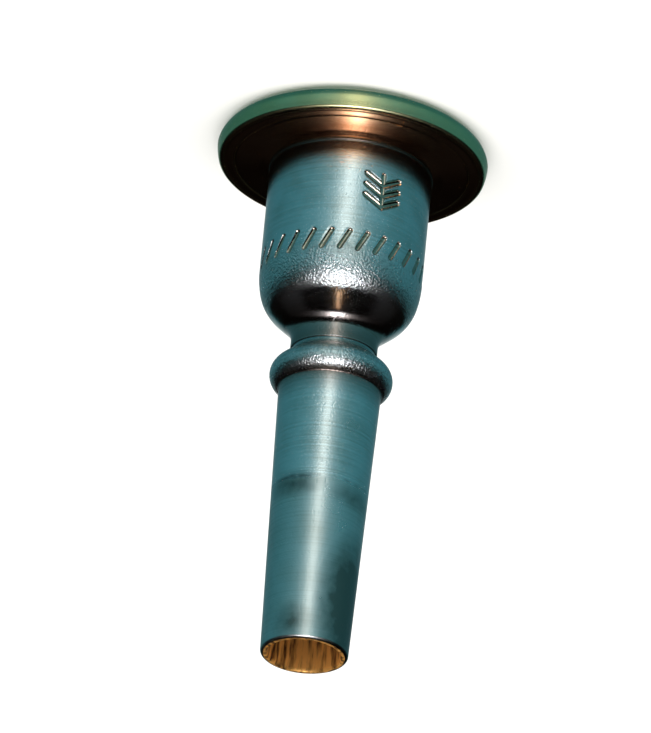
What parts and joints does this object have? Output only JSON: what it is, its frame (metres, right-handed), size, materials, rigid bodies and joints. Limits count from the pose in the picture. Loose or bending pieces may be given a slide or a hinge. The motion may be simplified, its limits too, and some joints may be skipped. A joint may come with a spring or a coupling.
{
  "type": "cornet mouthpiece",
  "caption": "Cornet mouthpiece with a gilt screw rim, a silvered cup body and a tapered shank, standing on its rim.",
  "frame": {"origin": "centre of the plane that the rim's crest rests on, below the bore", "axes": "+Z along the bore from the rim towards the end of the shank; the sprig mark is on the -Y side, turned a little towards -X"},
  "size_m": [0.027, 0.027, 0.0563],
  "materials": {
    "gold_plate": "gold plate over turned brass, polished",
    "silver_plate": "silver plate over turned brass, satin with fine lathe lines",
    "seal_rubber": "black nitrile rubber, matt"
  },
  "bodies": {
    "rim": {"rim": "gold_plate"},
    "body_seal": {"body_seal": "seal_rubber"},
    "cup_body": {"cup_body": "silver_plate"},
    "neck_seal": {"neck_seal": "seal_rubber"},
    "shank": {"shank": "silver_plate"}
  },
  "joints": [
    {"name": "body_lift", "type": "slide", "parent": "rim", "child": "body_seal", "axis": [0, 0, 1], "range_m": [0, 0.0035]},
    {"name": "body_unscrew", "type": "hinge", "parent": "body_seal", "child": "cup_body", "pos_m": [0, 0, 0.0031], "axis": [0, 0, 1], "range_deg": [0, 1800]},
    {"name": "shank_lift", "type": "slide", "parent": "cup_body", "child": "neck_seal", "axis": [0, 0, 1], "range_m": [0, 0.0036]},
    {"name": "shank_unscrew", "type": "hinge", "parent": "neck_seal", "child": "shank", "pos_m": [0, 0, 0.0233], "axis": [0, 0, 1], "range_deg": [0, 2160]}
  ],
  "couplings": [
    {"joint": "body_unscrew", "follows": "body_lift", "rad_per_m": 8976},
    {"joint": "shank_unscrew", "follows": "shank_lift", "rad_per_m": 10472}
  ]
}
